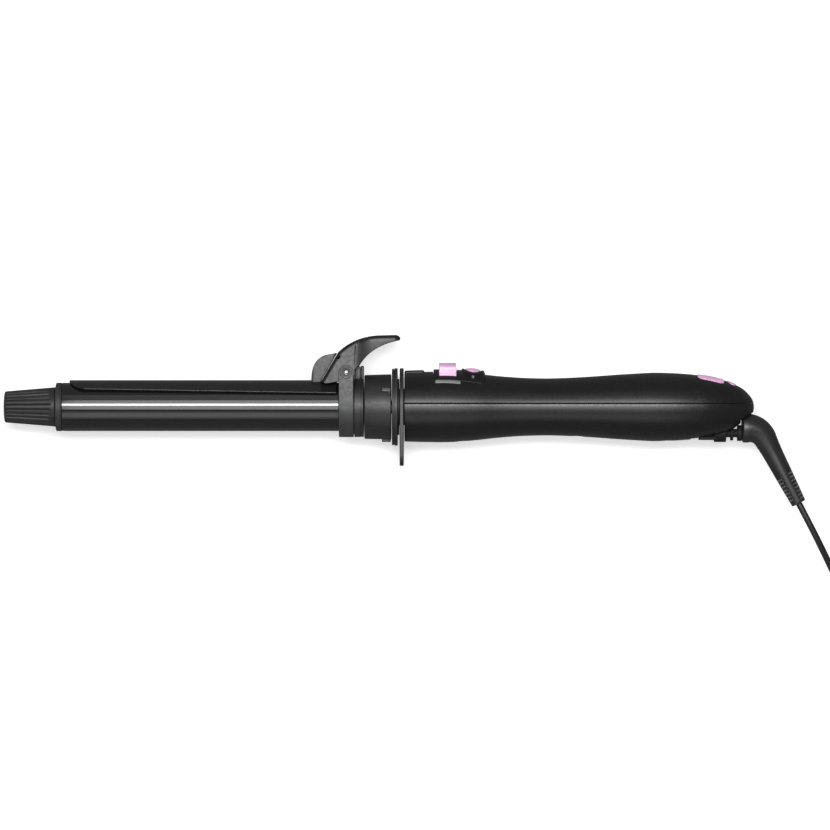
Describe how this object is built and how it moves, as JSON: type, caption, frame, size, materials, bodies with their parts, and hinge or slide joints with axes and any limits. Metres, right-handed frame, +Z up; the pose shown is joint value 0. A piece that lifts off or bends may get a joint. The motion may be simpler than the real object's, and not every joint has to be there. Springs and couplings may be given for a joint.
{
  "type": "curling iron",
  "caption": "Corded clamp curling iron with a spring clamp and thumb lever, twist-release head, stand plate, pink controls and swivel cord.",
  "frame": {"origin": "bottom centre of the iron as it lies on its side, without the cord", "axes": "+X from the cool tip to the tail, +Y towards the thumb lever, +Z up from the surface that the iron lies on"},
  "size_m": [0.524, 0.1709, 0.04],
  "materials": {
    "tip_plastic": "satin black heat-resistant plastic",
    "barrel_coating": "aluminium tube with a satin black ceramic coating",
    "heater_aluminium": "bare extruded aluminium",
    "ceramic": "unglazed white ceramic",
    "clamp_coating": "pressed aluminium with a satin black ceramic coating",
    "lever_plastic": "satin dark grey plastic",
    "yoke_metal": "satin dark grey paint on pressed steel",
    "steel": "polished steel",
    "collar_plastic": "semi-gloss black plastic",
    "contact_brass": "plated brass contacts",
    "handle_plastic": "semi-gloss black plastic",
    "panel_plastic": "gloss black plastic",
    "trim_plastic": "satin grey plastic",
    "pink_plastic": "pearl pink plastic",
    "circuit_board": "green solder mask",
    "switch_plastic": "matte black plastic",
    "boot_rubber": "matte black flexible plastic",
    "cord_jacket": "satin black flexible jacket",
    "tie_plastic": "matte black strap",
    "plug_plastic": "satin black moulded plastic",
    "plug_nickel": "nickel-plated brass blades"
  },
  "bodies": {
    "handle": {"stand_plate": "collar_plastic", "bayonet_socket": "collar_plastic", "contact_socket": "contact_brass", "handle_upper_shell": "handle_plastic", "handle_lower_shell": "handle_plastic", "shell_screw_1": "steel", "shell_screw_2": "steel", "shell_screw_3": "steel", "control_panel": "panel_plastic", "slider_trim_left": "trim_plastic", "slider_trim_right": "trim_plastic", "power_bezel": "panel_plastic", "main_board": "circuit_board", "power_switch": "switch_plastic", "cooler_switch": "switch_plastic", "hotter_switch": "switch_plastic", "mode_switch": "switch_plastic", "swivel_retainer": "collar_plastic"},
    "head": {"cool_tip": "tip_plastic", "tip_collar": "tip_plastic", "barrel_tube": "barrel_coating", "heater_block_upper": "heater_aluminium", "heater_block_lower": "heater_aluminium", "heater_element": "ceramic", "barrel_end_plug": "ceramic", "thermistor": "ceramic", "hinge_yoke": "yoke_metal", "hinge_pin": "steel", "hinge_collar": "collar_plastic", "torsion_spring": "steel", "rear_collar": "collar_plastic", "head_flange": "collar_plastic", "contact_pin": "contact_brass"},
    "clamp": {"clamp_spoon": "clamp_coating", "clamp_boss": "lever_plastic", "thumb_lever": "lever_plastic"},
    "lock_slider": {"lock_slider": "pink_plastic", "release_latch": "steel"},
    "power_button": {"power_button": "pink_plastic"},
    "temperature_rocker": {"temperature_rocker": "pink_plastic"},
    "mode_button": {"mode_button": "pink_plastic"},
    "cord": {"swivel_neck": "collar_plastic", "cord_boot": "boot_rubber", "cord_tube": "cord_jacket", "cord_coil": "cord_jacket", "cord_tie": "tie_plastic", "cord_tail": "cord_jacket", "plug_body": "plug_plastic", "plug_blade_left": "plug_nickel", "plug_blade_right": "plug_nickel"}
  },
  "joints": [
    {"name": "head_twist", "type": "hinge", "parent": "handle", "child": "head", "pos_m": [0.0115, -0.0034, 0.02], "axis": [1, 0, 0], "range_deg": [0, 30]},
    {"name": "clamp_hinge", "type": "hinge", "parent": "head", "child": "clamp", "pos_m": [-0.01705, 0.01425, 0.02], "axis": [0, 0, -1], "range_deg": [0, 22], "stiffness_Nm_per_rad": 0.4, "springref_deg": -28.65, "deforming": ["torsion_spring"]},
    {"name": "lock_slide", "type": "slide", "parent": "handle", "child": "lock_slider", "axis": [1, 0, 0], "range_m": [0, 0.002], "stiffness_N_per_m": 400, "springref_m": -0.002},
    {"name": "power_press", "type": "slide", "parent": "handle", "child": "power_button", "axis": [0, -1, 0], "range_m": [0, 0.0008], "stiffness_N_per_m": 1500, "springref_m": -0.0004},
    {"name": "temperature_rock", "type": "hinge", "parent": "handle", "child": "temperature_rocker", "pos_m": [0.1709, 0.0096, 0.02], "axis": [0, 0, 1], "range_deg": [-3, 3], "stiffness_Nm_per_rad": 0.2},
    {"name": "mode_press", "type": "slide", "parent": "handle", "child": "mode_button", "axis": [0, -1, 0], "range_m": [0, 0.0008], "stiffness_N_per_m": 1500, "springref_m": -0.0004},
    {"name": "cord_swivel", "type": "hinge", "parent": "handle", "child": "cord", "pos_m": [0.18, -0.0169, 0.02], "axis": [1, 0, 0], "continuous": true}
  ]
}
